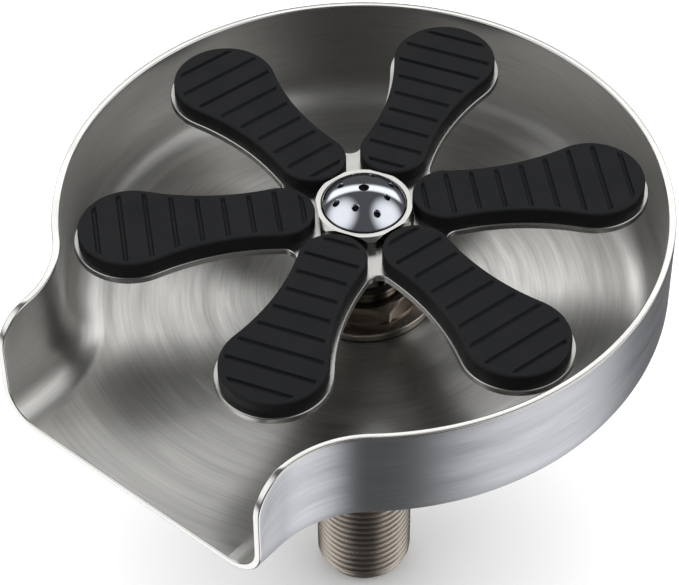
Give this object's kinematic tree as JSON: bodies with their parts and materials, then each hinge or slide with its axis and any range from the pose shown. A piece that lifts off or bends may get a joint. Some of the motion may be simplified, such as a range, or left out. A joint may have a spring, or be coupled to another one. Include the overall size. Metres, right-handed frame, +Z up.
{
  "type": "faucet glass rinser",
  "caption": "Deck-mounted glass rinser: round steel tray with a pouring spout, press-down star of padded petals, spray dome and threaded inlet shank.",
  "frame": {"origin": "on the shank's axis, at the underside of the tray", "axes": "+Z up along the shank's axis towards the spray dome, -Y towards the pouring spout"},
  "size_m": [0.1244, 0.1325, 0.1142],
  "materials": {
    "tray_steel": "brushed",
    "gasket": "matte",
    "valve_plating": "nickel plated",
    "guide_plating": "nickel plated",
    "nut_plating": "nickel plated",
    "seal_rubber": "matte",
    "ring_rubber": "matte",
    "inner_plastic": "matte",
    "spring_steel": "drawn wire",
    "stem_steel": "ground",
    "inner_brass": "turned",
    "collar_plating": "nickel plated",
    "star_steel": "satin",
    "pad_rubber": "matte",
    "hub_steel": "satin",
    "dome_chrome": "polished"
  },
  "bodies": {
    "valve": {"tray": "tray_steel", "body_gasket": "gasket", "valve_body": "valve_plating", "stem_guide": "guide_plating", "bonnet_nut": "nut_plating", "body_o_ring": "seal_rubber", "dust_ring": "ring_rubber", "spring_seat": "inner_plastic", "circlip": "spring_steel", "inlet_strainer": "inner_plastic", "return_spring": "spring_steel"},
    "plunger": {"thrust_washer": "inner_plastic"},
    "star": {"stem": "stem_steel", "stem_o_ring_lower": "seal_rubber", "stem_o_ring_upper": "seal_rubber", "seal_disc": "seal_rubber", "seal_retainer": "inner_brass", "lock_collar": "collar_plating", "star_plate": "star_steel", "pad_1": "pad_rubber", "pad_2": "pad_rubber", "pad_3": "pad_rubber", "pad_4": "pad_rubber", "pad_5": "pad_rubber", "pad_6": "pad_rubber", "hex_hub": "hub_steel", "dome_washer": "seal_rubber", "spray_dome": "dome_chrome"}
  },
  "joints": [
    {"name": "press", "type": "slide", "parent": "valve", "child": "plunger", "axis": [0, 0, -1], "range_m": [0, 0.005], "stiffness_N_per_m": 1500, "springref_m": -0.01, "deforming": ["return_spring"]},
    {"name": "star_spin", "type": "hinge", "parent": "plunger", "child": "star", "pos_m": [0, 0, 0], "axis": [0, 0, 1], "continuous": true}
  ]
}
